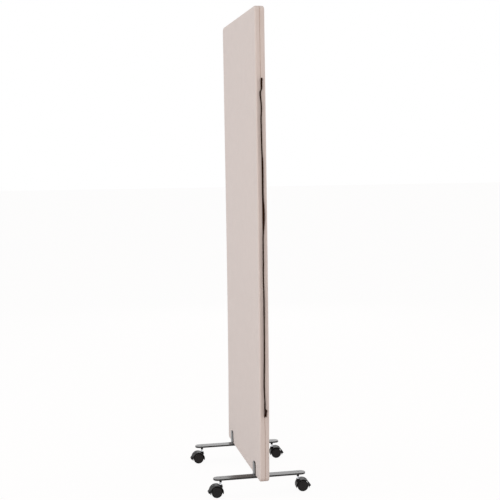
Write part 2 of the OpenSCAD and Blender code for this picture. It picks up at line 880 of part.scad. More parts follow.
foot_bar(1);  // right_foot_bar
foot_bar(-1);  // left_foot_bar
strap(1, -1);  // right_front_strap
strap(1, 1);  // right_back_strap
strap(-1, -1);  // left_front_strap
strap(-1, 1);  // left_back_strap
foot_screws(1);  // right_foot_screws
foot_screws(-1);  // left_foot_screws

for (c = CASTERS) {
    at_caster(c) stem();
    at_caster(c) sleeve();
    at_caster(c) hood();
    at_caster(c) axle();
    at_caster(c) wheel(1);
    at_caster(c) wheel(-1);
    at_caster(c) brake();
}
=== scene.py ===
"""Rolling partition: a padded, fabric-covered screen on two flat steel feet with braked casters.

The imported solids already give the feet, the casters and the zips' fastenings their shape, so those
keep it and are dressed with finishes here. The padded cover with its seam and the two bending zip
halves are surfaces worked out with numpy and stand for their plain solids. Lengths are in metres.
"""

from __future__ import annotations

import json
import logging
import math
from collections.abc import Callable, Sequence
from dataclasses import dataclass, field
from enum import Enum
from typing import Union

import bmesh
import bpy
import numpy as np
from mathutils import Matrix, Vector


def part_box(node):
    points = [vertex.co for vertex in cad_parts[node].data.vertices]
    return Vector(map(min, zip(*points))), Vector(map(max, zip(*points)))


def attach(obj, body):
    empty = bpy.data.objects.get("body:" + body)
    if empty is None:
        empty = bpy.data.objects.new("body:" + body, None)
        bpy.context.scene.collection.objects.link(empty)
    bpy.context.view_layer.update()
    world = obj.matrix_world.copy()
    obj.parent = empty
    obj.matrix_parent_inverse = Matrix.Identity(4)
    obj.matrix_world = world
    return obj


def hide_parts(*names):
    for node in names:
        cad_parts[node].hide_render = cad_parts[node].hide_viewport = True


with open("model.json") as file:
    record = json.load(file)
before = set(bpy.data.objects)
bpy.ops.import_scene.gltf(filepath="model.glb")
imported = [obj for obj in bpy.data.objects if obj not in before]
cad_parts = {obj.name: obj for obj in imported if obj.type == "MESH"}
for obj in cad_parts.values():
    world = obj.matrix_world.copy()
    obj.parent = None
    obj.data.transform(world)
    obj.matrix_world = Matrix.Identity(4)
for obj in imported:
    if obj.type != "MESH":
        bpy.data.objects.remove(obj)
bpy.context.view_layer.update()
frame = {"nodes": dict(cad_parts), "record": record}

LOG = logging.getLogger("rolling_partition")
MM = 0.001
SAME_PLACE = 0.001 * MM
Array = np.ndarray
Faces = Sequence[Sequence[int]]
Colour = tuple[float, float, float, float]
Value = Union[float, tuple, bpy.types.NodeSocket]


def display(red: int, green: int, blue: int) -> Colour:
    """Turns an 8-bit display colour into the linear colour that shaders work in.

    Each channel c, from 0 to 1, becomes ((c + 0.055) / 1.055) raised to the power 2.4.

    Args:
        red: Red, 0 to 255.
        green: Green, 0 to 255.
        blue: Blue, 0 to 255.

    Returns:
        The linear colour, with full alpha.
    """
    channels = ((c / 255 + 0.055) / 1.055 for c in (red, green, blue))
    return (*(c**2.4 for c in channels), 1.0)


def scaled(colour: Colour, factor: float) -> Colour:
    """Returns the colour with its three channels multiplied by the factor."""
    return (colour[0] * factor, colour[1] * factor, colour[2] * factor, colour[3])


# ---------------------------------------------------------------- surfaces


def smooth_step(x: Array) -> Array:
    """Returns 3x² - 2x³ with x held between 0 and 1, an even rise with flat ends."""
    t = np.clip(x, 0.0, 1.0)
    return t * t * (3.0 - 2.0 * t)


def ring_faces(rings: int, sides: int) -> Array:
    """Lists the four-sided faces of a tube of rings.

    Face (i, j) joins point j of ring i to the next point round the ring and to the same two points
    of the next ring. The last point of a ring is joined back to its first.

    Args:
        rings: Number of rings.
        sides: Number of points in a ring.

    Returns:
        Point numbers, one row of four per face.
    """
    here = np.arange((rings - 1) * sides).reshape(-1, sides)
    beside = np.roll(here, -1, axis=1)
    return np.stack((here, beside, beside + sides, here + sides), 2).reshape(-1, 4)


def ring_ends(rings: int, sides: int) -> list[list[int]]:
    """Lists the two faces that close a tube of rings: its first ring backwards, and its last."""
    last = (rings - 1) * sides
    return [list(range(sides))[::-1], list(range(last, last + sides))]


def spread_uv(lie: Array, faces: Faces) -> Array:
    """Gives every corner of the faces the pair of numbers of its point."""
    return lie[np.concatenate([np.ravel(face) for face in faces])]


def repeated(points: Array, faces: Array, heights: Array) -> tuple[Array, Array]:
    """Copies a small mesh to each of a row of heights.

    Args:
        points: Its points, with the height in the third column.
        faces: Its faces.
        heights: The heights to add, one for each copy.

    Returns:
        The points and the faces of all the copies.
    """
    many = np.tile(points, (heights.size, 1))
    many[:, 2] += np.repeat(heights, len(points))
    first = len(points) * np.arange(heights.size)[:, None, None]
    return many, (faces[None] + first).reshape(-1, faces.shape[1])


def swept_ring(section: Array, stations: Array) -> tuple[Array, Array, Array]:
    """Carries a closed section up a row of heights.

    Point (i, j) is section point j at height i, so its coordinates are (a, b) of the section and
    the height.

    Args:
        section: The section's points (a, b), in order round it.
        stations: The heights, in rising order.

    Returns:
        The points (a, b, height), the faces, and for each corner of the faces its length round the
        section and its height.
    """
    sides, rows = len(section), len(stations)
    points = np.empty((rows, sides, 3))
    points[..., :2] = section
    points[..., 2] = stations[:, None]
    ring = np.vstack((section, section[:1]))
    round_it = np.concatenate(([0.0], np.cumsum(np.linalg.norm(np.diff(ring, axis=0), axis=1))))
    i, j = np.divmod(np.arange((rows - 1) * sides), sides)
    u = np.stack((round_it[j], round_it[j + 1], round_it[j + 1], round_it[j]), 1)
    v = np.stack((stations[i], stations[i], stations[i + 1], stations[i + 1]), 1)
    return points.reshape(-1, 3), ring_faces(rows, sides), np.stack((u, v), 2)


def cut_square(cut: float) -> Array:
    """Lists the eight corners of a square of half side 1 with its corners cut off, anticlockwise.

    The right side's two corners come first, and each quarter turn takes (a, b) to (-b, a).

    Args:
        cut: How much of each half side is cut off.

    Returns:
        The corners, one row each.
    """
    sides = [np.array(((1.0, cut - 1.0), (1.0, 1.0 - cut)))]
    for _ in range(3):
        sides.append(np.stack((-sides[-1][:, 1], sides[-1][:, 0]), 1))
    return np.vstack(sides)


def squared_circle(sides: int, power: float) -> Array:
    """Lists points round a circle that bulges towards a square.

    Each coordinate is the cosine or sine of the turn, with its size raised to the power.

    Args:
        sides: Number of points.
        power: The power, below 1.

    Returns:
        The points, one row each.
    """
    turn = np.arange(sides) * 2 * math.pi / sides
    wave = np.stack((np.cos(turn), np.sin(turn)), 1)
    return np.sign(wave) * np.abs(wave) ** power


def new_piece(name: str, points: Array, faces: Faces, uv: Array | None = None) -> bpy.types.Object:
    """Makes a smooth-shaded mesh object whose place is in its mesh.

    Args:
        name: Name of the piece.
        points: The points, one row each.
        faces: Point numbers of each face.
        uv: A pair of numbers for each corner of each face, in the same order, or None.

    Returns:
        The linked object, at the origin.
    """
    mesh = bpy.data.meshes.new(name)
    mesh.from_pydata(points.tolist(), [], faces)
    mesh.shade_smooth()
    if uv is not None:
        layer = mesh.uv_layers.new(name="cut")
        layer.data.foreach_set("uv", np.ascontiguousarray(uv, np.float32).ravel())
    mesh.validate()
    piece = bpy.data.objects.new(name, mesh)
    bpy.context.scene.collection.objects.link(piece)
    return piece


def merge_doubles(piece: bpy.types.Object) -> None:
    """Joins points of a mesh that lie in the same place, which closes its poles and slits.

    Args:
        piece: The piece, whose mesh is changed.
    """
    work = bmesh.new()
    work.from_mesh(piece.data)
    bmesh.ops.remove_doubles(work, verts=work.verts, dist=SAME_PLACE)
    bmesh.ops.dissolve_degenerate(work, edges=work.edges, dist=SAME_PLACE)
    work.to_mesh(piece.data)
    work.free()


def face_outwards(piece: bpy.types.Object) -> None:
    """Turns the faces of a closed mesh outwards.

    Args:
        piece: The piece, whose mesh is changed.
    """
    work = bmesh.new()
    work.from_mesh(piece.data)
    bmesh.ops.recalc_face_normals(work, faces=work.faces)
    work.to_mesh(piece.data)
    work.free()


# ---------------------------------------------------------------- finishes


class ShaderGraph:
    """The node tree of a material or world, with short calls that add nodes and join them."""

    def __init__(self, owner: bpy.types.Material | bpy.types.World) -> None:
        """Empties the owner's node tree, to build it anew.

        Args:
            owner: The material or world.
        """
        self.owner = owner
        owner.use_nodes = True
        self.tree = owner.node_tree
        self.tree.nodes.clear()

    def put(self, socket: bpy.types.NodeSocket, value: Value) -> None:
        """Sets a socket to a value, or joins it to another node's output.

        Args:
            socket: The input socket.
            value: The value or output.
        """
        if isinstance(value, bpy.types.NodeSocket):
            self.tree.links.new(value, socket)
        else:
            socket.default_value = value

    def add(self, kind: str, inputs: dict[str, Value] | None = None, **settings: object) -> bpy.types.Node:
        """Adds a node.

        Args:
            kind: The node's type, without its "ShaderNode" prefix.
            inputs: Values or outputs for its sockets, by name.
            **settings: The node's own settings.

        Returns:
            The new node.
        """
        node = self.tree.nodes.new("ShaderNode" + kind)
        for key, value in settings.items():
            setattr(node, key, value)
        for key, value in (inputs or {}).items():
            self.put(node.inputs[key], value)
        return node

    def calc(self, operation: str, *values: Value) -> bpy.types.NodeSocket:
        """Adds a Math node.

        Args:
            operation: The node's operation.
            *values: Values or outputs for its sockets, in order.

        Returns:
            The node's output.
        """
        node = self.add("Math", operation=operation)
        for socket, value in zip(node.inputs, values):
            self.put(socket, value)
        return node.outputs[0]

    def blend(self, share: Value, first: Value, second: Value) -> bpy.types.NodeSocket:
        """Mixes two colours.

        Args:
            share: The second colour's share, from 0 to 1.
            first: The first colour.
            second: The second colour.

        Returns:
            The mixed colour.
        """
        node = self.add("Mix", data_type="RGBA")
        # The node has a pair of sockets for each type of data, all with the same names
        for index, value in ((0, share), (6, first), (7, second)):
            self.put(node.inputs[index], value)
        return node.outputs[2]

    def spread(self, value: Value, low: float, high: float) -> bpy.types.NodeSocket:
        """Maps a value from 0 to 1 onto the range from low to high."""
        return self.calc("MULTIPLY_ADD", value, high - low, low)

    def pick(self, share: Value, first: Value, second: Value) -> bpy.types.NodeSocket:
        """Returns the first value where the share is 1 and the second where it is 0."""
        rest = self.calc("MULTIPLY", self.calc("SUBTRACT", 1.0, share), second)
        return self.calc("ADD", self.calc("MULTIPLY", share, first), rest)

    def ribs(self, value: Value, width: float) -> bpy.types.NodeSocket:
        """Returns the size of cos(pi value / width), a row of round ribs of that width."""
        return self.calc("ABSOLUTE", self.calc("COSINE", self.calc("MULTIPLY", value, math.pi / width)))

    def place(self) -> bpy.types.NodeSocket:
        """Returns the Object coordinates, in metres."""
        return self.add("TexCoord").outputs["Object"]

    def cut(self) -> bpy.types.NodeSocket:
        """Returns the coordinates on the piece's flat cut, in metres."""
        return self.add("UVMap", uv_map="cut").outputs[0]

    def stretched(self, vector: Value, scale: tuple[float, float, float]) -> bpy.types.NodeSocket:
        """Multiplies a vector by a scale for each axis."""
        return self.add("Mapping", {"Vector": vector, "Scale": scale}).outputs[0]

    def noise(
        self, vector: Value, scale: float = 1.0, detail: float = 2.0, rough: float = 0.5
    ) -> bpy.types.NodeSocket:
        """Adds a noise texture and returns its grey value."""
        inputs = {"Vector": vector, "Scale": scale, "Detail": detail, "Roughness": rough}
        return self.add("TexNoise", inputs).outputs["Fac"]

    def bump(self, height: Value, depth: float, normal: Value | None = None) -> bpy.types.NodeSocket:
        """Adds relief.

        Args:
            height: The relief's height, from 0 to 1.
            depth: Its depth, in metres.
            normal: The normal that it turns, or None for the surface's own.

        Returns:
            The turned normal.
        """
        inputs: dict[str, Value] = {"Height": height, "Distance": depth, "Strength": 1.0}
        if normal is not None:
            inputs["Normal"] = normal
        return self.add("Bump", inputs).outputs[0]

    def eased_edges(self, radius: float) -> bpy.types.NodeSocket:
        """Returns a normal that rounds off sharp edges within the radius, in metres."""
        return self.add("Bevel", {"Radius": radius}, samples=4).outputs[0]

    def finish(self, **sockets: Value) -> bpy.types.Material:
        """Joins a Principled shader to the output.

        Args:
            **sockets: Values or outputs for its sockets, with "_" for each space in a name.

        Returns:
            The finished material.
        """
        shader = self.add("BsdfPrincipled", {key.replace("_", " "): value for key, value in sockets.items()})
        self.add("OutputMaterial", {"Surface": shader.outputs[0]})
        return self.owner


@dataclass(frozen=True)
class ScreenCloth:
    """Plain-woven acoustic cloth of mixed pale yarns; it reads the flat cut's own coordinates."""

    name: str
    colour: Colour
    # A yarn's width, the weave's depth, how far the yarns wander, and the share of loose fibres
    yarn: float = 1.1 * MM
    relief: float = 0.16 * MM
    wander: float = 1.2 * MM
    fuzz: float = 0.5
    # Slubs: how many to a yarn's width, and the share of that number along the yarn
    slub: float = 0.6
    slub_run: float = 0.09
    # How much the tone varies between yarns and in broad patches, the painted light that raised yarns gain
    # over the painted shade in the weave's hollows, and the rest
    yarn_contrast: float = 0.07
    patch_contrast: float = 0.035
    relief_light: float = 0.10
    base_light: float = 0.93

    def threads(self, g: ShaderGraph, cut: Value) -> bpy.types.NodeSocket:
        """Bends the flat cut's coordinates a little with slow noise, as yarns wander in real cloth.

        Args:
            g: The material's graph.
            cut: The flat cut's coordinates.

        Returns:
            The bent coordinates.
        """
        colour = g.add("TexNoise", {"Vector": cut, "Scale": 90.0, "Detail": 1.0}).outputs["Color"]
        centred = g.add("VectorMath", {0: colour, 1: (-0.5, -0.5, 0.0)}, operation="ADD").outputs[0]
        bent = g.add("VectorMath", operation="MULTIPLY_ADD")
        for index, value in enumerate((centred, (self.wander, self.wander, 0.0), cut)):
            g.put(bent.inputs[index], value)
        return bent.outputs[0]

    def build(self) -> bpy.types.Material:
        """Weaves over-and-under yarns from cosines and tints each yarn along its length.

        A warp yarn's height is the size of cos(pi u / yarn) and a weft yarn's is that of
        cos(pi v / yarn); a checker of yarn-sized squares picks the upper one.

        Returns:
            The material.
        """
        g = ShaderGraph(bpy.data.materials.new(self.name))
        cut = g.cut()
        threads = self.threads(g, cut)
        split = g.add("SeparateXYZ", {"Vector": threads})
        over = g.add("TexChecker", {"Vector": threads, "Scale": 1.0 / self.yarn}).outputs["Fac"]
        height = g.pick(over, g.ribs(split.outputs[0], self.yarn), g.ribs(split.outputs[1], self.yarn))
        fuzz = g.noise(threads, scale=2600.0, detail=3.0, rough=0.7)
        surface = g.calc("MULTIPLY_ADD", fuzz, self.fuzz, height)

        across = self.slub / self.yarn
        along = across * self.slub_run
        warp_tint = g.noise(g.stretched(threads, (across, along, 1.0)), detail=1.0)
        weft_tint = g.noise(g.stretched(threads, (along, across, 1.0)), detail=1.0)
        yarns = g.spread(g.pick(over, warp_tint, weft_tint), -self.yarn_contrast, self.yarn_contrast)
        patches = g.noise(cut, scale=24.0, detail=3.0, rough=0.55)
        light = g.calc("ADD", yarns, g.spread(patches, -self.patch_contrast, self.patch_contrast))
        # Painted light: raised yarns are painted lighter and the hollows between them darker, as light and
        # shade fall on the weave
        shade = g.calc("MULTIPLY_ADD", height, self.relief_light, g.calc("ADD", light, self.base_light))
        tinted = g.add("VectorMath", {0: self.colour[:3]}, operation="SCALE")
        g.put(tinted.inputs["Scale"], shade)
        return g.finish(
            Base_Color=tinted.outputs[0],
            Roughness=0.92,
            Normal=g.bump(surface, self.relief),
            Sheen_Weight=0.12,
            Sheen_Roughness=0.5,
        )


@dataclass(frozen=True)
class TapeWeave:
    """Tight woven zip tape or twisted thread, ribbed along its length, without any shine, with painted
    highlights on its ribs and painted shade in its hollows.
    """

    name: str
    colour: Colour
    rib: float = 0.9 * MM
    relief: float = 0.10 * MM
    # The picks: their slope across the ribs, and their height as a share of a rib's
    slant: float = 1.8
    pick_height: float = 0.6
    # How much of the painted highlight the raised places get, and the colour's factors for the painted shade
    # in the sunken places and the painted highlight on the raised ones
    highlight_share: float = 0.8
    shade_and_highlight: tuple[float, float] = (0.72, 1.35)

    def build(self) -> bpy.types.Material:
        """Crosses ribs along the tape, the size of cos(pi u / rib), with slanted picks.

        A pick's height is the size of sin(pi (slant v + u) / rib).

        Returns:
            The material.
        """
        g = ShaderGraph(bpy.data.materials.new(self.name))
        cut = g.cut()
        split = g.add("SeparateXYZ", {"Vector": cut})
        turns = math.pi / self.rib
        along = g.calc("MULTIPLY", split.outputs[1], self.slant * turns)
        across = g.calc("MULTIPLY", split.outputs[0], turns)
        picks = g.calc("ABSOLUTE", g.calc("SINE", g.calc("ADD", along, across)))
        height = g.calc("MULTIPLY_ADD", picks, self.pick_height, g.ribs(split.outputs[0], self.rib))
        # Painted light: raised ribs are painted lighter, patchily by noise, and the sunken places darker, as
        # light and shade fall on the weave
        wear_and_painted_highlight = g.calc("MULTIPLY", g.noise(cut, scale=60.0, detail=3.0, rough=0.6), height)
        painted_shade, painted_highlight = (scaled(self.colour, factor) for factor in self.shade_and_highlight)
        return g.finish(
            Base_Color=g.blend(g.spread(wear_and_painted_highlight, 0.0, self.highlight_share), painted_shade, painted_highlight),
            Roughness=0.8,
            Specular_IOR_Level=0.0,
            Normal=g.bump(height, self.relief),
        )


@dataclass(frozen=True)
class MouldedPlastic:
    """Moulded plastic with a fine spark-eroded grain and faint dust."""

    name: str
    colour: Colour
    gloss: tuple[float, float] = (0.32, 0.46)
    specular: float = 0.35
    grain: float = 0.012 * MM
    edge: float = 0.25 * MM
    # The colour's factors where it is clean and where it is dusty
    dusty: tuple[float, float] = (0.8, 1.3)

    def build(self) -> bpy.types.Material:
        """Uses fine noise for the grain and slow noise for rubbed and dusty areas.

        Returns:
            The material.
        """
        g = ShaderGraph(bpy.data.materials.new(self.name))
        place = g.place()
        wear_and_painted_highlight = g.noise(place, scale=55.0, detail=4.0, rough=0.6)
        grain = g.noise(place, scale=5200.0, rough=0.6)
        clean, dusted = (scaled(self.colour, factor) for factor in self.dusty)
        return g.finish(
            Base_Color=g.blend(wear_and_painted_highlight, clean, dusted),
            Roughness=g.spread(wear_and_painted_highlight, *self.gloss),
            Specular_IOR_Level=self.specular,
            Normal=g.bump(grain, self.grain, g.eased_edges(self.edge)),
        )


@dataclass(frozen=True)
class CoatedMetal:
    """Metal under powder coat or lacquer, with orange peel and slightly worn edges."""

    name: str
    colour: Colour
    metallic: float = 0.5
    gloss: tuple[float, float] = (0.23, 0.28)
    peel: float = 0.004 * MM
    edge: float = 0.35 * MM
    specular: float = 0.5
    # The colour's factors over handling marks and in the fine flakes, and the flakes' share
    handled: tuple[float, float] = (0.92, 1.08)
    flake: float = 1.6
    flake_share: float = 0.2

    def build(self) -> bpy.types.Material:
        """Uses mid-scale noise for the peel, broad noise for handling marks and fine noise for flakes.

        Returns:
            The material.
        """
        g = ShaderGraph(bpy.data.materials.new(self.name))
        place = g.place()
        marks = g.noise(g.stretched(place, (1.0, 0.35, 1.0)), scale=26.0, detail=5.0, rough=0.62)
        peel = g.noise(place, scale=850.0)
        flakes = g.spread(g.noise(place, scale=6500.0, detail=1.0), 0.0, self.flake_share)
        tone = g.blend(marks, *(scaled(self.colour, factor) for factor in self.handled))
        return g.finish(
            Base_Color=g.blend(flakes, tone, scaled(self.colour, self.flake)),
            Metallic=self.metallic,
            Roughness=g.spread(marks, *self.gloss),
            Specular_IOR_Level=self.specular,
            Normal=g.bump(peel, self.peel, g.eased_edges(self.edge)),
        )


@dataclass(frozen=True)
class TurnedMetal:
    """Bare or plated metal turned on a lathe, with fine rings; it may be painted above a height."""

    name: str
    colour: Colour
    gloss: tuple[float, float] = (0.18, 0.34)
    rings: float = 0.010 * MM
    edge: float = 0.2 * MM
    # The colour's factors under the plating's slow bloom
    bloomed: tuple[float, float] = (0.85, 1.08)
    # The height above which it is painted, out of reach unless a piece sets it
    painted_above: float = 10.0
    paint: Colour = display(30, 28, 28)
    paint_metallic: float = 0.4

    def build(self) -> bpy.types.Material:
        """Stretches noise level, so that it varies with height like a tool's fine marks.

        Returns:
            The material.
        """
        g = ShaderGraph(bpy.data.materials.new(self.name))
        place = g.place()
        rings = g.noise(g.stretched(place, (40.0, 40.0, 5200.0)), rough=0.6)
        bloom = g.noise(place, scale=140.0, detail=4.0, rough=0.6)
        bare = g.blend(bloom, *(scaled(self.colour, factor) for factor in self.bloomed))
        height = g.add("SeparateXYZ", {"Vector": place}).outputs[2]
        painted = g.calc("GREATER_THAN", height, self.painted_above)
        return g.finish(
            Base_Color=g.blend(painted, bare, self.paint),
            Metallic=g.spread(painted, 1.0, self.paint_metallic),
            Roughness=g.spread(bloom, *self.gloss),
            Normal=g.bump(rings, self.rings, g.eased_edges(self.edge)),
        )


@dataclass(frozen=True)
class PlanedWood:
    """Planed softwood with growth rings in slanted bands."""

    name: str
    early: Colour
    late: Colour
    # The late wood's least and greatest share
    ring_share: tuple[float, float] = (0.1, 0.8)
    gloss: tuple[float, float] = (0.55, 0.75)
    fibre: float = 0.06 * MM

    def build(self) -> bpy.types.Material:
        """Bends diagonal bands with noise for growth rings, and stretches fine noise for fibres.

        Returns:
            The material.
        """
        g = ShaderGraph(bpy.data.materials.new(self.name))
        place = g.stretched(g.place(), (1.0, 8.0, 1.0))
        inputs = {"Vector": place, "Scale": 26.0, "Distortion": 2.5, "Detail": 3.0}
        rings = g.add("TexWave", inputs, bands_direction="DIAGONAL").outputs["Fac"]
        fibre = g.noise(g.stretched(g.place(), (900.0, 900.0, 30.0)))
        return g.finish(
            Base_Color=g.blend(g.spread(rings, *self.ring_share), self.early, self.late),
            Roughness=g.spread(fibre, *self.gloss),
            Normal=g.bump(fibre, self.fibre),
        )


@dataclass(frozen=True)
class MattedFibre:
    """Pressed felt or open foam: a matt body full of small pits and stray fibres."""

    name: str
    colour: Colour
    pit: float
    depth: float = 0.25 * MM
    # The tint's changes to a pit's width, and the colour's factors at its ends
    tint: float = 0.4
    tints: tuple[float, float] = (0.8, 1.15)

    def build(self) -> bpy.types.Material:
        """Uses cell distances for the pits and noise for the fibres' tint.

        Returns:
            The material.
        """
        g = ShaderGraph(bpy.data.materials.new(self.name))
        place = g.place()
        cells = g.add("TexVoronoi", {"Vector": place, "Scale": 1.0 / self.pit}).outputs["Distance"]
        tint = g.noise(place, scale=self.tint / self.pit, detail=4.0, rough=0.7)
        return g.finish(
            Base_Color=g.blend(tint, *(scaled(self.colour, factor) for factor in self.tints)),
            Roughness=0.95,
            Normal=g.bump(cells, self.depth),
        )


# Finishes of the record's material slots
FINISHES = {
    "panel_fabric": ScreenCloth("screen_cloth", display(211, 200, 195)),
    "frame_wood": PlanedWood("frame_softwood", early=display(222, 188, 140), late=display(176, 128, 80)),
    "acoustic_felt": MattedFibre("acoustic_felt", display(118, 118, 122), pit=1.6 * MM),
    "face_foam": MattedFibre("face_foam", display(228, 226, 216), pit=0.9 * MM),
    "insert_brass": TurnedMetal("turned_brass", display(206, 168, 92)),
    "zip_tape": TapeWeave("zip_tape_weave", display(40, 22, 14)),
    "zip_teeth": MouldedPlastic("zip_acetal", display(40, 21, 13), gloss=(0.45, 0.6), specular=0.0),
    "slider_metal": CoatedMetal(
        "slider_lacquer",
        display(42, 21, 13),
        metallic=0.1,
        gloss=(0.4, 0.52),
        peel=0.006 * MM,
        edge=0.15 * MM,
        specular=0.1,
    ),
    "foot_steel": CoatedMetal("foot_lacquer", display(38, 36, 36)),
    "zinc_steel": TurnedMetal("zinc_plate", display(214, 216, 220)),
    "sleeve_black": CoatedMetal("sleeve_black_oxide", display(24, 23, 23), metallic=0.6, gloss=(0.4, 0.55)),
    "caster_nylon": MouldedPlastic("caster_nylon", display(24, 21, 21), specular=0.2),
}
# Finishes of single kinds of node, by the last word of their names, in place of their slots' own
KIND_FINISHES = {
    "hood": MouldedPlastic("hood_nylon", display(23, 21, 21), gloss=(0.32, 0.44), specular=0.15),
    "brake": MouldedPlastic("lever_nylon", display(25, 23, 23), gloss=(0.36, 0.48), specular=0.12),
    "stem": TurnedMetal("stem_zinc", display(222, 224, 228), painted_above=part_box("right_foot_bar")[0].z),
}
# Finishes of pieces that are made here and have no slot of their own
OWN_FINISHES = {
    "seam_thread": TapeWeave("seam_thread_twist", display(170, 142, 126), rib=0.7 * MM, relief=0.05 * MM),
}


class Wardrobe:
    """Builds each finish once, the first time that a piece asks for it."""

    def __init__(self) -> None:
        """Gathers the finishes, with none of them built yet."""
        self.finishes = {**FINISHES, **KIND_FINISHES, **OWN_FINISHES}
        self.built: dict[str, bpy.types.Material] = {}

    def dress(self, piece: bpy.types.Object, finish: str) -> None:
        """Gives a piece its finish, in place of what it had.

        Args:
            piece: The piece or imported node.
            finish: The finish's name in one of the three tables above.
        """
        if finish not in self.built:
            self.built[finish] = self.finishes[finish].build()
        piece.data.materials.clear()
        piece.data.materials.append(self.built[finish])

    def dress_nodes(self) -> None:
        """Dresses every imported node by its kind, or else by the slot that the record gives it."""
        for part in frame["record"]["subparts"]:
            kind = part["node"].rsplit("_", 1)[-1]
            finish = kind if kind in KIND_FINISHES else part["material_slot"]
            self.dress(frame["nodes"][part["node"]], finish)
            LOG.info("dressed %s as %s", part["node"], finish)


# ---------------------------------------------------------------- sub-assemblies


class Direction(Enum):
    """One of two opposite directions of the panel; the value is its sign along their axis."""

    def named(self, piece: str) -> str:
        """Returns the name of the piece or node that lies in this direction."""
        return f"{self.name.lower()}_{piece}"


class Face(Direction):
    """The panel's two faces, along Y."""

    FRONT = -1
    BACK = 1


class Side(Direction):
    """The panel's two side edges, along X."""

    RIGHT = 1
    LEFT = -1


@dataclass(frozen=True)
class Rim:
    """Samples round a rounded rectangle: a place on its core, from -1 to 1, and a direction."""

    across: Array
    up: Array
    out_x: Array
    out_z: Array
    arc: Array

    @classmethod
    def sampled(cls, short_steps: int, long_steps: int, corner_steps: int) -> Rim:
        """Lists the samples anticlockwise from the right edge's foot.

        A straight side keeps one direction while its place moves along the core, and a corner
        keeps its place while its direction turns by a quarter.

        Args:
            short_steps: Steps along the top and bottom.
            long_steps: Steps along the side edges.
            corner_steps: Steps round each corner.

        Returns:
            The samples, each once.
        """
        parts: list[Array] = []
        corners = [(1.0, 1.0), (-1.0, 1.0), (-1.0, -1.0), (1.0, -1.0)]
        for quarter in range(4):
            start, end = corners[quarter - 1], corners[quarter]
            steps = long_steps if quarter % 2 == 0 else short_steps
            t = np.arange(steps)[:, None] / steps
            straight = np.array(start) * (1 - t) + np.array(end) * t
            turn = np.full(steps, quarter * math.pi / 2)
            parts.append(np.column_stack((straight, turn, np.zeros(steps))))
            s = np.arange(corner_steps) / corner_steps
            held = np.tile(end, (corner_steps, 1))
            parts.append(np.column_stack((held, (quarter + s) * math.pi / 2, s)))
        across, up, turn, arc = np.vstack(parts).T
        return cls(across, up, np.cos(turn), np.sin(turn), arc)

    def loop(self, half_w: Array, half_h: Array, radius: Array) -> tuple[Array, Array]:
        """Places the samples on rounded rectangles about the middle.

        A point is its core place, scaled to half size less the radius, plus the radius along its
        direction.

        Args:
            half_w: Half width of each rectangle.
            half_h: Half height of each.
            radius: Corner radius of each.

        Returns:
            x and z of each sample, with one row per rectangle.
        """
        r = radius[:, None]
        x = self.across * (half_w[:, None] - r) + r * self.out_x
        z = self.up * (half_h[:, None] - r) + r * self.out_z
        return x, z


@dataclass(frozen=True)
class Bow:
    """The panel's slight bow, which its long edges show: its depth, middle height and half wave."""

    depth: float = 2.0 * MM
    middle: float = 0.62
    half_wave: float = 1.4
    foot: float = 0.06
    fade: float = 0.3

    def at(self, height: Array) -> Array:
        """Returns the bow towards the back face, a cosine of the height that eases in above the foot."""
        wave = np.cos(math.pi * (height - self.middle) / self.half_wave)
        return self.depth * wave * smooth_step((height - self.foot) / self.fade)


@dataclass(frozen=True)
class Lean:
    """How a zip half strays from the seam's plane: offsets in millimetres at heights in metres."""

    heights: tuple[float, ...]
    offsets: tuple[float, ...]

    def at(self, height: Array) -> Array:
        """Joins the offsets by smooth steps, each flat at both of its ends.

        Args:
            height: Heights of points.

        Returns:
            How far the half strays towards the back face at each, in metres.
        """
        knots, offsets = np.array(self.heights), np.array(self.offsets) * MM
        i = np.clip(np.searchsorted(knots, height) - 1, 0, len(knots) - 2)
        share = smooth_step((height - knots[i]) / (knots[i + 1] - knots[i]))
        return offsets[i] * (1 - share) + offsets[i + 1] * share


RIGHT_LEAN = Lean(
    (0.345, 0.425, 0.560, 0.730, 0.815, 0.940, 1.023, 1.105, 1.190, 1.275, 1.357, 1.398, 1.448, 1.464),
    (0.0, -4.6, -2.4, -1.8, -3.4, -2.4, 3.7, -0.2, 0.5, -3.0, -3.6, -1.6, -6.0, 0.0),
)
LEFT_LEAN = Lean((0.345, 0.480, 0.700, 0.900, 1.120, 1.300, 1.464), (0.0, 1.2, -0.8, 1.5, -1.2, 0.9, 0.0))


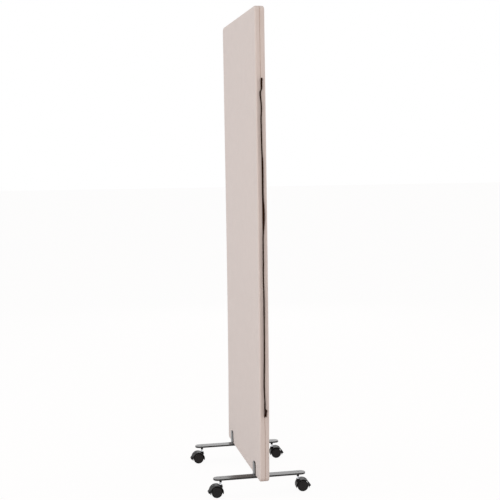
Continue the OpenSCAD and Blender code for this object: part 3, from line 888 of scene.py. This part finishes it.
@dataclass
class PaddedCover:
    """The fabric cover over its foam: two halves that meet in a seam round the edge."""

    wardrobe: Wardrobe
    bow: Bow = Bow()
    # The panel's corners, seen from the front, the rounding of its edges, and the cloth
    corner_radius: float = 18 * MM
    edge_radius: float = 6 * MM
    cloth: float = 1.3 * MM
    fill: float = 0.95
    # How far a face swells in its middle, and how far in from the edge it takes to swell and sway
    crown: float = 0.7 * MM
    crown_run: float = 26 * MM
    sway_run: float = 30 * MM
    # The seam's ditch, the strip beside it that has closer rows, and its drift below the zips
    seam_depth: float = 1.35 * MM
    seam_width: float = 0.8 * MM
    seam_power: float = 1.6
    seam_strip: float = 4.5 * MM
    seam_drift: float = 2.2 * MM
    drift_below: float = 0.30
    drift_run: float = 0.06
    # The thread in the ditch: the thinnest part of a stitch is the waist's share of its radius
    thread_r: float = 0.55 * MM
    thread_stitch: float = 4.0 * MM
    thread_waist: float = 0.55
    thread_sides: int = 6
    thread_steps: tuple[int, int, int] = (740, 2100, 36)
    # The gathers round the corners: how many, how deep, and how far past the face they reach
    gathers: int = 5
    gather: float = 0.35 * MM
    gather_reach: float = 16 * MM
    gather_fade: float = 6 * MM
    # What a strap does to the padding: how far it presses in, and the swelling round it
    strap_press: float = 0.5 * MM
    press_edge: float = 2.5 * MM
    press_run: float = 6 * MM
    strap_bulge: float = 0.7 * MM
    bulge_out: float = 6 * MM
    bulge_run: float = 5 * MM
    # Rows of points: over the middle of the face, over its outer band, the rounding and the edge
    face_rows: int = 26
    band: float = 52 * MM
    band_rows: int = 13
    round_rows: int = 9
    flat_rows: int = 3
    strip_rows: int = 11
    rim: Rim = field(default_factory=lambda: Rim.sampled(150, 170, 14))

    def __post_init__(self) -> None:
        """Reads the panel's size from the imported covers, and a strap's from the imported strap."""
        low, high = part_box("front_cover")[0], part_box("back_cover")[1]
        self.half_w = (high.x - low.x) / 2
        self.half_h = (high.z - low.z) / 2
        self.half_t = (high.y - low.y) / 2
        self.middle_z = (high.z + low.z) / 2
        low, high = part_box("right_front_strap")
        self.strap_centre = (high.x + low.x) / 2
        self.strap_half = (high.x - low.x) / 2
        self.strap_height = high.z - low.z

    def sway(self, x: Array, z: Array, phase: float) -> Array:
        """Works out the face's slow unevenness, a sum of three crossed sines under half a millimetre.

        They turn by a radian in 41 mm across and 83 mm up, in 97 and 210 mm, and in 19 and 27 mm.

        Args:
            x: Places across the panel.
            z: Places up the panel, from its middle.
            phase: A number that sets one face's waves apart from the other's.

        Returns:
            The height of the unevenness at each place.
        """
        slow = np.sin(x / (41 * MM) + phase) * np.sin(z / (83 * MM) + 2.1 * phase)
        broad = np.sin(x / (97 * MM) - phase + z / (210 * MM))
        fine = np.sin(x / (19 * MM) + 3.0 * phase) * np.sin(z / (27 * MM) - phase)
        return (0.16 * slow + 0.22 * broad + 0.05 * fine) * MM

    def under_straps(self, x: Array, z: Array) -> Array:
        """Works out how far the straps press the padding in, with a soft bulge round each.

        The distance past a strap's outline is measured across and above it. Inside, the padding
        is pressed flat; outside and on the outline itself, it swells and dies away as a bell curve
        of that distance.

        Args:
            x: Places across the panel.
            z: Places up the panel, from its middle.

        Returns:
            The height that the straps add to each place.
        """
        aside = np.abs(np.abs(x) - self.strap_centre) - self.strap_half
        above = z + self.half_h - self.strap_height
        past = np.maximum(aside, above)
        pressed = -self.strap_press * smooth_step(1.0 - past / self.press_edge)
        swell = self.strap_bulge * np.exp(-(((past - self.bulge_out) / self.bulge_run) ** 2))
        return pressed + swell * (past > -SAME_PLACE)

    def folds(self, past: Array) -> Array:
        """Returns the corners' cosine folds, which fade to nothing at both of a corner's ends."""
        wave = np.cos(2 * math.pi * self.gathers * self.rim.arc) * np.sin(math.pi * self.rim.arc) ** 2
        return self.gather * wave * (1 - smooth_step((past - self.gather_reach) / self.gather_fade))

    def drift(self, height: Array, rim: Rim) -> Array:
        """Returns how far the seam strays towards the back below the zips, on the side edges."""
        return self.seam_drift * smooth_step((self.drift_below - height) / self.drift_run) * rim.out_x**2

    def profile(self) -> tuple[Array, Array, Array, Array, Array]:
        """Works out the section from the face's middle to the seam.

        The face runs level to the edge rounding, a quarter circle follows, and the strip beside
        the seam sinks into it as a bell curve of the distance from the seam.

        Returns:
            For each row: the distance in from the silhouette, the height off the seam plane, the
            share of the surface's normal that points outwards round the rim, the length of cloth
            past the face, and a mask that is 1 on the face.
        """
        r, half_t = self.edge_radius, self.half_t
        middle = np.linspace(self.half_w, self.band, self.face_rows)
        face_in = np.concatenate((middle, np.linspace(self.band, r, self.band_rows)[1:]))
        turn = np.linspace(0.0, math.pi / 2, self.round_rows)[1:]
        flat = np.linspace(half_t - r, self.seam_strip, self.flat_rows)[1:]
        strip = np.concatenate((flat, self.seam_strip * (1.0 - np.linspace(0.0, 1.0, self.strip_rows)[1:])))
        sink = self.seam_depth * np.exp(-((strip / self.seam_width) ** self.seam_power))
        level = np.zeros(face_in.size)
        inset = np.concatenate((face_in, r * (1 - np.sin(turn)), sink))
        height = np.concatenate((level + half_t, half_t - r + r * np.cos(turn), strip))
        outward = np.concatenate((level, np.sin(turn), np.ones(strip.size)))
        past = np.concatenate((level, r * turn, r * math.pi / 2 + (half_t - r - strip)))
        on_face = np.concatenate((level + 1.0, np.zeros(turn.size + strip.size)))
        return inset, height, outward, past, on_face

    def rings(self, inset: Array, past: Array, on_face: Array) -> tuple[Array, Array, Array]:
        """Carries every row of the profile round the rim, on the panel and on the flat cut.

        Row i is a rounded rectangle, inset by the profile; its corners' radius shrinks with the
        inset and reaches nothing at the middle, where the rows close on a line. On the flat cut
        the cloth past the face carries on level.

        Args:
            inset: Each row's distance in from the silhouette.
            past: Each row's length of cloth past the face.
            on_face: 1 for the rows on the face, and 0 for the others.

        Returns:
            x and z of each point, and its pair of places on the flat cut.
        """
        face = on_face > 0
        r_face = self.corner_radius - self.edge_radius
        shrink = (self.half_w - inset) / (self.half_w - self.edge_radius)
        radius = np.where(face, r_face * shrink, self.corner_radius - inset)
        x, z = self.rim.loop(self.half_w - inset, self.half_h - inset, radius)
        flat_w = np.where(face, self.half_w - inset, self.half_w - self.edge_radius + past)
        flat_h = flat_w + self.half_h - self.half_w
        return x, z, np.stack(self.rim.loop(flat_w, flat_h, np.where(face, radius, r_face + past)), 2)

    def half(self, face: Face) -> None:
        """Builds one half of the cover as a wall of cloth.

        Each point of the rings moves along its normal by the crown, the sway, the straps' press
        and, at the corners, the gathers. The bow comes last, with the seam's drift towards the
        back below the zips, in full at the seam.

        Args:
            face: Which half.
        """
        inset, height, outward, past, on_face = self.profile()
        x, z, lie = self.rings(inset, past, on_face)
        height, outward, past, on_face = (row[:, None] for row in (height, outward, past, on_face))

        deep = np.maximum(inset - self.edge_radius, 0.0)[:, None]
        lift = self.crown * (1.0 - np.exp(-deep / self.crown_run))
        lift = lift + smooth_step(deep / self.sway_run) * self.sway(x, z, 0.7 + face.value)
        lift = lift + smooth_step(deep / self.press_run) * self.under_straps(x, z)
        folds = self.folds(past) * outward
        out = folds * outward
        off = np.where(on_face > 0, lift, 0.0) + folds * (1 - outward)
        up = z + out * self.rim.out_z + self.middle_z
        near_seam = outward * (1 - height / self.half_t)
        through = face.value * (height + off) + self.bow.at(up) + near_seam * self.drift(up, self.rim)
        points = np.stack((x + out * self.rim.out_x, through, up), 2).reshape(-1, 3)

        winding = -1 if face is Face.FRONT else 1
        faces = ring_faces(*x.shape)[:, ::winding]
        piece = new_piece(face.named("cover_cloth"), points, faces.tolist(), lie.reshape(-1, 2)[faces])
        merge_doubles(piece)
        wall = piece.modifiers.new("cloth", "SOLIDIFY")
        wall.thickness, wall.offset = self.cloth, -1.0
        self.wardrobe.dress(piece, "panel_fabric")
        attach(piece, "panel")
        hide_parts(face.named("cover"), face.named("foam"))
        LOG.info("built %s", piece.name)

    def thread(self, place: str, covers: Callable[[Array], Array]) -> None:
        """Sews one bare run of the seam: a thread that lies in its ditch and swells with each stitch.

        The path is the rim's rounded rectangle, inset by the ditch's depth less the thread's radius.
        The radius rises from its waist by the root of the size of sin(pi s / stitch), with s the
        length along the run.

        Args:
            place: The run's name.
            covers: Tells, for an array of heights, which of them the run reaches.
        """
        rim = Rim.sampled(*self.thread_steps)
        inset = self.seam_depth - self.thread_r
        sizes = (np.array([size - inset]) for size in (self.half_w, self.half_h, self.corner_radius))
        x, z = (line[0] for line in rim.loop(*sizes))
        z = z + self.middle_z
        reached = covers(z)
        first = int(np.flatnonzero(reached & ~np.roll(reached, 1))[0])
        run = np.roll(np.arange(z.size), -first)[: int(reached.sum())]
        y = self.bow.at(z) + self.drift(z, rim)
        x, y, z, out_x, out_z = (line[run][:, None] for line in (x, y, z, rim.out_x, rim.out_z))

        steps = np.hypot(np.diff(x[:, 0]), np.diff(z[:, 0]))
        s = np.concatenate(([0.0], np.cumsum(steps)))[:, None]
        swell = np.sqrt(np.abs(np.sin(math.pi * s / self.thread_stitch)))
        r = self.thread_r * (self.thread_waist + (1 - self.thread_waist) * swell)
        around = np.arange(self.thread_sides) * 2 * math.pi / self.thread_sides
        out, aside = r * np.cos(around), r * np.sin(around)
        points = np.stack((x + out * out_x, y + aside, z + out * out_z), 2).reshape(-1, 3)
        lie = np.stack(np.broadcast_arrays(s, around * self.thread_r), 2).reshape(-1, 2)
        faces = ring_faces(s.size, self.thread_sides)[:, ::-1].tolist()
        faces += [end[::-1] for end in ring_ends(s.size, self.thread_sides)]
        piece = new_piece(f"seam_thread_{place}", points, faces, spread_uv(lie, faces))
        self.wardrobe.dress(piece, "seam_thread")
        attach(piece, "panel")
        LOG.info("built %s", piece.name)

    def build(self) -> None:
        """Builds both halves and sews the seam above and below the zips."""
        for face in Face:
            self.half(face)
        low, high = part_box("right_zip_tape")
        self.thread("top", lambda height: height > high.z + MM)
        self.thread("foot", lambda height: height < low.z - MM)


@dataclass
class ZipHalf:
    """One half of a separating zip: its tape, its teeth on a bead, and the tape's sewing."""

    wardrobe: Wardrobe
    side: Side
    lean: Lean
    bow: Bow = Bow()
    # How the half lies: its lean grows outwards as a power, and it leaves the bow near its held ends
    bend_power: float = 1.5
    held: float = 15 * MM
    ease: float = 90 * MM
    # The tape, from under the cover's seam to its outer selvedge
    tape_out: float = 11.0 * MM
    tape_in: float = 1.5 * MM
    tape_t: float = 0.8 * MM
    tape_columns: int = 8
    selvedge_points: int = 7
    tape_rows: int = 520
    # The bead: a squared rod whose middle and half width are shares of its width
    bead: float = 1.6 * MM
    bead_middle: float = 0.3
    bead_half: float = 0.68
    bead_thick: float = 0.46
    bead_power: float = 0.6
    bead_sides: int = 10
    bead_rows: int = 560
    # A tooth: its root lies inside the bead, it widens from neck to head, and its tip is rounded
    pitch: float = 4.4 * MM
    first_tooth: float = 3.3 * MM
    tooth_length: float = 3.6 * MM
    tooth_t: float = 5.0 * MM
    tooth_root: float = 0.6
    tooth_stations: tuple[float, ...] = (0.28, 0.5, 0.86, 1.0)
    tooth_cut: float = 0.3
    neck: float = 1.32 * MM
    head: float = 2.024 * MM
    tip_width: float = 0.72
    tip_thick: tuple[float, float] = (0.9, 0.66)
    # The sewing: spindles in a row, on each face of the tape
    stitch_pitch: float = 3.4 * MM
    stitch_length: float = 0.82
    stitch_r: float = 0.24 * MM
    stitch_at: float = 3.4 * MM
    stitch_bow: float = 0.5
    stitch_shift: float = 0.12
    stitch_rings: int = 7
    stitch_sides: int = 6

    def __post_init__(self) -> None:
        """Reads the half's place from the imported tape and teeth."""
        low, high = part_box(self.side.named("zip_tape"))
        self.tape_span = (low.z, high.z)
        self.edge = (high.x if self.side is Side.RIGHT else -low.x) - self.tape_out
        low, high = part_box(self.side.named("zip_teeth"))
        self.teeth_span = (low.z, high.z)

    def follow(self, height: Array) -> Array:
        """Works out how far the half follows the panel's bow, which eases off at its held ends.

        Args:
            height: Heights of points.

        Returns:
            The distance towards the back face at each.
        """
        low, high = self.teeth_span
        from_ends = np.minimum(height - low - self.held, high - self.held - height)
        return self.bow.at(height) * smooth_step(from_ends / self.ease)

    def bent(self, points: Array) -> Array:
        """Bends points of the straight half to its real lie.

        A point stands a out from the edge and b off the tape's middle. The tape's own line leaves
        the seam's plane as lean times (a / reach) to a power, and b is measured square to that
        line, whose slope turns it. The line also draws in by half of its sideways way times the
        slope's sine.

        Args:
            points: Columns a, b and height.

        Returns:
            The points in the part's frame.
        """
        a, b, z = points.T
        reach = self.tape_out + self.bead + self.tooth_length / 2
        share = np.clip(a, 0.0, None) / reach
        lean = self.lean.at(z)
        away = lean * share**self.bend_power
        slope = np.arctan(self.bend_power * lean / reach * share ** (self.bend_power - 1))
        x = self.edge + a - np.abs(away * np.sin(slope)) / 2 - b * np.sin(slope)
        y = away + b * np.cos(slope) + self.follow(z)
        return np.stack((self.side.value * x, y, z), 1)

    def keep(self, name: str, points: Array, faces: Faces, uv: Array, slot: str) -> bpy.types.Object:
        """Bends a straight piece, makes it, turns its faces outwards and rides it on the panel.

        Args:
            name: The piece's name, without the side's.
            points: Columns a, b and height.
            faces: Point numbers of each face.
            uv: A pair for each corner of the faces.
            slot: The material slot.

        Returns:
            The piece.
        """
        piece = new_piece(self.side.named(name), self.bent(points), faces, uv)
        face_outwards(piece)
        self.wardrobe.dress(piece, slot)
        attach(piece, "panel")
        LOG.info("built %s", piece.name)
        return piece

    def tape(self) -> None:
        """Sweeps the tape's section up the edge: two flat sides and a round outer selvedge."""
        t = self.tape_t / 2
        end = self.tape_out - t
        flat = np.linspace(-self.tape_in, end, self.tape_columns)
        turn = np.linspace(-math.pi / 2, math.pi / 2, self.selvedge_points)[1:-1]
        front = np.stack((flat, np.full(flat.size, -t)), 1)
        selvedge = np.stack((end + t * np.cos(turn), t * np.sin(turn)), 1)
        section = np.vstack((front, selvedge, front[::-1] * (1, -1)))
        points, faces, uv = swept_ring(section, np.linspace(*self.tape_span, self.tape_rows))
        ends = ring_ends(self.tape_rows, len(section))
        corners = np.vstack((uv.reshape(-1, 2), section[::-1], section))
        piece = self.keep("zip_tape_cloth", points, faces.tolist() + ends, corners, "zip_tape")
        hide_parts(self.side.named("zip_tape"))
        Face.FRONT.named("cover_cloth")

    def tooth(self) -> tuple[Array, Array]:
        """Lofts one moulded tooth from its root in the bead to its rounded tip.

        Each of its five stations is an eight-sided ring, square with cut corners, whose width
        follows the neck and the wider head, and whose thickness thins towards the tip.

        Returns:
            Its points (a, b, height from its middle) and its faces, closed at both ends.
        """
        stations = np.array(self.tooth_stations) * self.tooth_length
        out = np.concatenate(([-self.tooth_root * self.bead], stations))
        width = np.array((self.neck, self.neck, self.head, self.head, self.tip_width * self.head))
        thick = np.array((1.0, 1.0, 1.0, *self.tip_thick)) * self.tooth_t
        ring = cut_square(self.tooth_cut)
        points = np.empty((out.size, len(ring), 3))
        points[..., 0] = (out + self.tape_out + self.bead)[:, None]
        points[..., 1] = thick[:, None] / 2 * ring[:, 1]
        points[..., 2] = width[:, None] / 2 * ring[:, 0]
        faces = ring_faces(out.size, len(ring))
        end = np.array(((0, 1, 2, 3), (0, 3, 4, 7), (4, 5, 6, 7)))
        return points.reshape(-1, 3), np.vstack((faces, end[:, ::-1], end + (out.size - 1) * len(ring)))

    def teeth(self) -> None:
        """Repeats the tooth along its bead, which is a squared rod over the tape's selvedge."""
        low, high = self.teeth_span
        shift = 0.0 if self.side is Side.RIGHT else self.pitch / 2
        count = int((high - low - shift - self.pitch + SAME_PLACE) / self.pitch)
        heights = low + self.first_tooth + shift + self.pitch * np.arange(count)
        many, many_faces = repeated(*self.tooth(), heights)
        half_size = (self.bead_half * self.bead, self.bead_thick * self.tooth_t)
        middle = (self.tape_out + self.bead_middle * self.bead, 0.0)
        section = squared_circle(self.bead_sides, self.bead_power) * half_size + middle
        rod, rod_faces, _ = swept_ring(section, np.linspace(low, high, self.bead_rows))
        rod_ends = [[k + len(many) for k in end] for end in ring_ends(self.bead_rows, self.bead_sides)]
        points = np.vstack((many, rod))
        faces = many_faces.tolist() + (rod_faces + len(many)).tolist() + rod_ends
        piece = self.keep("zip_teeth_row", points, faces, spread_uv(points[:, [0, 2]], faces), "zip_teeth")
        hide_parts(self.side.named("zip_teeth"))

    def sewing(self) -> None:
        """Sews the tape: short raised stitches in a row, on both of its faces.

        A stitch is a thin spindle; its radius follows the root of sin(pi t) along its length, and
        its middle line bows off the tape as sin(pi t).
        """
        t = np.linspace(0.0, 1.0, self.stitch_rings)[:, None]
        around = np.arange(self.stitch_sides) * 2 * math.pi / self.stitch_sides
        swell = np.sin(math.pi * t)
        r = self.stitch_r * np.sqrt(swell) + SAME_PLACE
        line = self.tape_t / 2 + self.stitch_bow * self.stitch_r * swell
        spindle = np.empty((self.stitch_rings, self.stitch_sides, 3))
        spindle[..., 0] = self.stitch_at + r * np.cos(around)
        spindle[..., 1] = line + r * np.sin(around)
        spindle[..., 2] = (t - 0.5) * self.stitch_pitch * self.stitch_length
        low, high = self.tape_span
        heights = np.arange(low + self.stitch_pitch, high - self.stitch_pitch, self.stitch_pitch)
        one_faces = ring_faces(self.stitch_rings, self.stitch_sides)
        row, row_faces = repeated(spindle.reshape(-1, 3), one_faces, heights)
        other = row * (1, -1, 1) + (0.0, 0.0, self.stitch_shift * self.stitch_pitch)
        points, faces = np.vstack((row, other)), np.vstack((row_faces, row_faces + len(row)))
        self.keep("zip_stitches", points, faces.tolist(), points[:, [1, 2]][faces], "zip_tape")

    def build(self) -> None:
        """Builds the tape, the teeth and the stitches."""
        self.tape()
        self.teeth()
        self.sewing()


# ---------------------------------------------------------------- studio


@dataclass(frozen=True)
class Softbox:
    """A square area light: its place, what it faces, its side in metres, its watts and tint."""

    name: str
    place: tuple[float, float, float]
    aim: tuple[float, float, float]
    size: float
    watts: float
    tint: tuple[float, float, float]

    def hang(self) -> None:
        """Adds the light to the scene."""
        data = bpy.data.lights.new(self.name, "AREA")
        data.shape, data.size, data.energy, data.color = "SQUARE", self.size, self.watts, self.tint
        light = bpy.data.objects.new(self.name, data)
        turn = (Vector(self.aim) - Vector(self.place)).to_track_quat("-Z", "Y")
        light.matrix_world = Matrix.Translation(self.place) @ turn.to_matrix().to_4x4()
        light.visible_camera = False
        bpy.context.scene.collection.objects.link(light)


@dataclass
class Studio:
    """A white floor under an even white sky, softboxes, and the camera."""

    # The camera: its place, heading, tilt and roll in radians, and its focal length in pixels
    position: Vector = field(default_factory=lambda: Vector((3.7071, -0.7561, 1.2204)))
    yaw: float = 2.9355
    pitch: float = -0.0905
    roll: float = -0.0118
    focal_px: float = 1000.65
    frame_px: float = 500.0
    sensor: float = 36.0
    near: float = 0.05
    far: float = 200.0
    # The sky's and the floor's light: what the eye sees is white, whatever they give as lights
    white: Colour = (1.0, 1.0, 1.0, 1.0)
    sky: float = 0.73
    sky_tint: Colour = (1.0, 0.972, 0.952, 1.0)
    floor_half: float = 40.0
    floor_paint: Colour = (0.49, 0.43, 0.41, 1.0)
    floor_glow: float = 1.05
    shadow_share: float = 0.10
    boxes: tuple[Softbox, ...] = (
        Softbox("face_softbox", (-0.6, -4.0, 1.5), (0.0, 0.0, 0.8), 2.4, 62.0, (0.85, 0.94, 1.0)),
        Softbox("edge_softbox", (4.35, -1.35, 1.9), (0.4, 0.0, 1.0), 1.3, 67.0, (1.0, 0.92, 0.86)),
        Softbox("back_softbox", (-4.0, 0.85, 1.6), (0.0, 0.1, 0.1), 2.0, 14.0, (1.0, 1.0, 1.0)),
        Softbox("fill_softbox", (-0.4, 4.0, 1.8), (0.0, 0.0, 0.9), 2.4, 50.0, (1.0, 0.98, 0.96)),
    )

    def camera(self) -> None:
        """Sets the camera from its heading, tilt and roll.

        The view direction has the heading in plan and the tilt above the level; right is level
        and square to it, and both right and up then turn by the roll.
        """
        level = math.cos(self.pitch)
        forward = Vector((level * math.cos(self.yaw), level * math.sin(self.yaw), math.sin(self.pitch)))
        right = forward.cross(Vector((0, 0, 1))).normalized()
        up = right.cross(forward)
        c, s = math.cos(self.roll), math.sin(self.roll)
        right, up = c * right + s * up, c * up - s * right
        data = bpy.data.cameras.new("camera")
        data.sensor_width = self.sensor
        data.lens = self.focal_px / self.frame_px * self.sensor
        data.clip_start, data.clip_end = self.near, self.far
        camera = bpy.data.objects.new("camera", data)
        turned = Matrix((right, up, -forward)).transposed().to_4x4()
        camera.matrix_world = Matrix.Translation(self.position) @ turned
        bpy.context.scene.collection.objects.link(camera)
        bpy.context.scene.camera = camera

    def white_to_eye(self, g: ShaderGraph) -> bpy.types.NodeSocket:
        """Tells rays that come from the eye, a mirror or through glass from the others.

        Args:
            g: The material's or world's graph.

        Returns:
            1 for those rays, and 0 for others.
        """
        path = g.add("LightPath")
        seen = g.calc("MAXIMUM", path.outputs["Is Camera Ray"], path.outputs["Is Glossy Ray"])
        return g.calc("MAXIMUM", seen, path.outputs["Is Transmission Ray"])

    def floor(self) -> None:
        """Lays a wide floor that looks white and keeps a faint share of the object's shadow."""
        h = self.floor_half
        corners = np.array(((-h, -h, 0.0), (h, -h, 0.0), (h, h, 0.0), (-h, h, 0.0)))
        floor = new_piece("studio_floor", corners, [(0, 1, 2, 3)])
        g = ShaderGraph(bpy.data.materials.new("studio_floor"))
        paint = g.add("BsdfDiffuse", {"Color": self.floor_paint})
        glow = g.add("Emission", {"Color": self.white, "Strength": self.floor_glow})
        share = g.calc("MULTIPLY", self.white_to_eye(g), 1.0 - self.shadow_share)
        mixed = g.add("MixShader", {"Fac": share})
        for index, shader in enumerate((paint, glow), 1):
            g.put(mixed.inputs[index], shader.outputs[0])
        g.add("OutputMaterial", {"Surface": mixed.outputs[0]})
        floor.data.materials.append(g.owner)

    def world(self) -> None:
        """Makes the sky white to the eye and gentler as a light."""
        g = ShaderGraph(bpy.data.worlds.new("studio"))
        seen = self.white_to_eye(g)
        colour = g.blend(seen, self.sky_tint, self.white)
        background = g.add("Background", {"Color": colour, "Strength": g.spread(seen, self.sky, 1.0)})
        g.add("OutputWorld", {"Surface": background.outputs[0]})
        bpy.context.scene.world = g.owner

    def build(self) -> None:
        """Sets up the camera, floor, sky and light."""
        bpy.context.scene.view_settings.view_transform = "Standard"
        self.camera()
        self.floor()
        self.world()
        for box in self.boxes:
            box.hang()
        LOG.info("studio is set")


def main() -> None:
    """Builds the studio and the partition's pieces in order."""
    logging.basicConfig(level=logging.INFO, format="%(name)s: %(message)s")
    Studio().build()
    wardrobe = Wardrobe()
    wardrobe.dress_nodes()
    PaddedCover(wardrobe).build()
    ZipHalf(wardrobe, Side.RIGHT, RIGHT_LEAN).build()
    ZipHalf(wardrobe, Side.LEFT, LEFT_LEAN).build()


if __name__ == "__main__":
    main()
